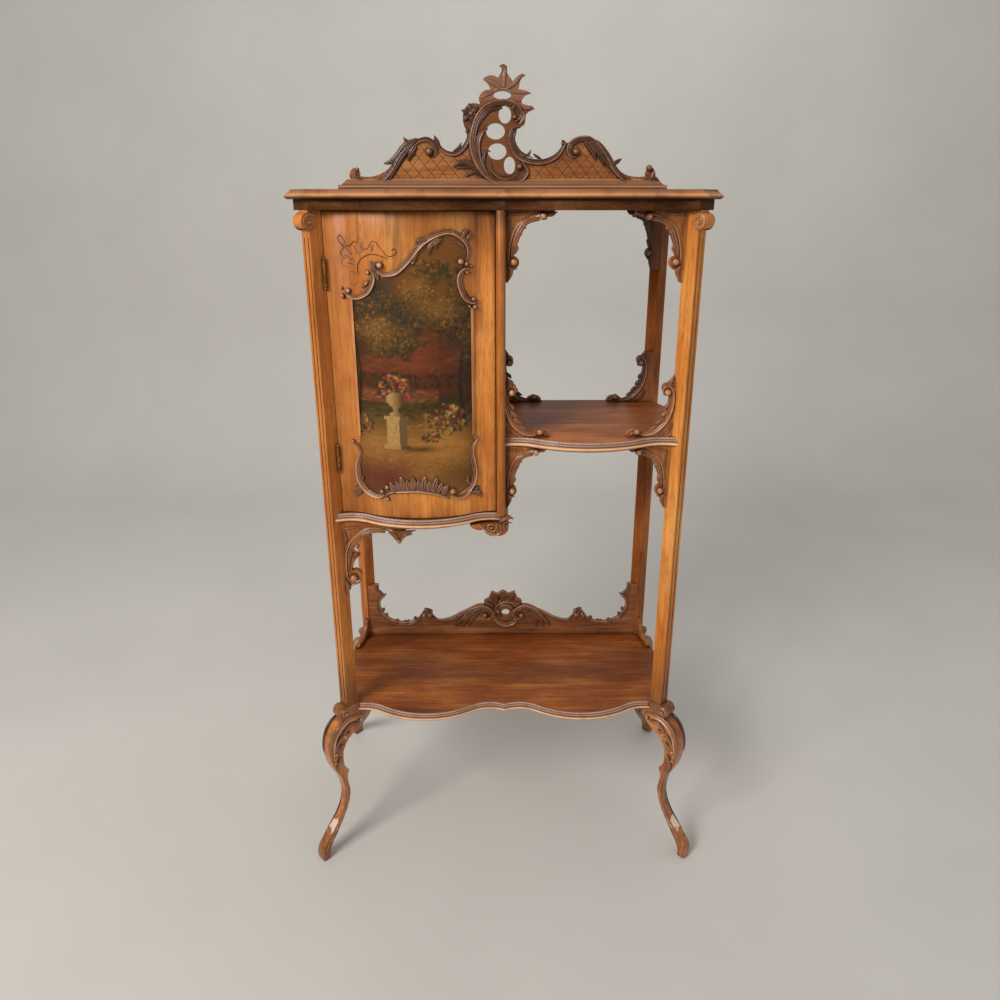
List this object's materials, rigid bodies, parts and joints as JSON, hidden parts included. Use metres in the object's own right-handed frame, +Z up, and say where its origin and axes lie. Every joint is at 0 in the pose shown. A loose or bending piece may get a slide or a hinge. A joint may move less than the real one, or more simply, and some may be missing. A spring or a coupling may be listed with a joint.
{
  "type": "etagere",
  "caption": "Carved display stand on cabriole legs: serpentine shelves on diagonal posts, a bow-fronted cabinet with a painted hinged door, fretted brackets and a pierced crest.",
  "frame": {"origin": "on the floor, at the middle of the four feet", "axes": "+Z up, -Y to the front, +X to the right as seen from the front"},
  "size_m": [0.7874, 0.4304, 1.553],
  "materials": {
    "case_walnut": "golden-brown stained walnut, satin varnish",
    "shelf_walnut": "reddish-brown walnut, satin varnish",
    "carved_walnut": "dark carved walnut, paler where it is rubbed",
    "inner_wood": "plain secondary wood",
    "painting": "oil painting under varnish on a thin panel",
    "brass": "aged brass",
    "steel_screw": "dull steel"
  },
  "bodies": {
    "frame": {"cabinet_back": "inner_wood", "cabinet_bottom": "shelf_walnut", "cabinet_bracket": "carved_walnut", "cabinet_divider": "case_walnut", "cabinet_left_side": "case_walnut", "cabinet_pendant": "carved_walnut", "cabinet_stile": "case_walnut", "catch_screw": "steel_screw", "crest_board": "carved_walnut", "crest_plinth": "case_walnut", "door_catch": "brass", "door_stop": "inner_wood", "frieze_front_rail": "case_walnut", "frieze_left_rail": "case_walnut", "frieze_rear_rail": "case_walnut", "frieze_right_rail": "case_walnut", "front_left_leg": "carved_walnut", "front_left_post": "case_walnut", "front_left_volute": "carved_walnut", "front_right_leg": "carved_walnut", "front_right_post": "case_walnut", "front_right_volute": "carved_walnut", "hinge_case_screws": "steel_screw", "hinge_pins": "brass", "inner_shelf": "shelf_walnut", "leg_dowels": "inner_wood", "lower_gallery": "carved_walnut", "lower_hinge_case_leaf": "brass", "lower_shelf": "shelf_walnut", "middle_shelf": "shelf_walnut", "rear_left_leg": "carved_walnut", "rear_left_post": "case_walnut", "rear_right_leg": "carved_walnut", "rear_right_post": "case_walnut", "shelf_cleats": "inner_wood", "shelf_scroll_front_left": "carved_walnut", "shelf_scroll_front_right": "carved_walnut", "shelf_scroll_rear_left": "carved_walnut", "shelf_scroll_rear_right": "carved_walnut", "side_gallery_left": "carved_walnut", "side_gallery_right": "carved_walnut", "top_board": "shelf_walnut", "top_bracket_front_left": "carved_walnut", "top_bracket_front_right": "carved_walnut", "top_bracket_rear_left": "carved_walnut", "top_bracket_rear_right": "carved_walnut", "under_shelf_bracket_left": "carved_walnut", "under_shelf_bracket_right": "carved_walnut", "upper_hinge_case_leaf": "brass"},
    "door": {"door_panel": "case_walnut", "painted_panel": "painting", "door_head_carving": "carved_walnut", "door_foot_carving": "carved_walnut", "door_bead_left": "case_walnut", "door_bead_right": "case_walnut", "lower_hinge_door_leaf": "brass", "upper_hinge_door_leaf": "brass", "hinge_door_screws": "steel_screw"}
  },
  "joints": [
    {"name": "door_hinge", "type": "hinge", "parent": "frame", "child": "door", "pos_m": [-0.30007, -0.14434, 1.032], "axis": [0, 0, -1], "range_deg": [0, 100]}
  ]
}
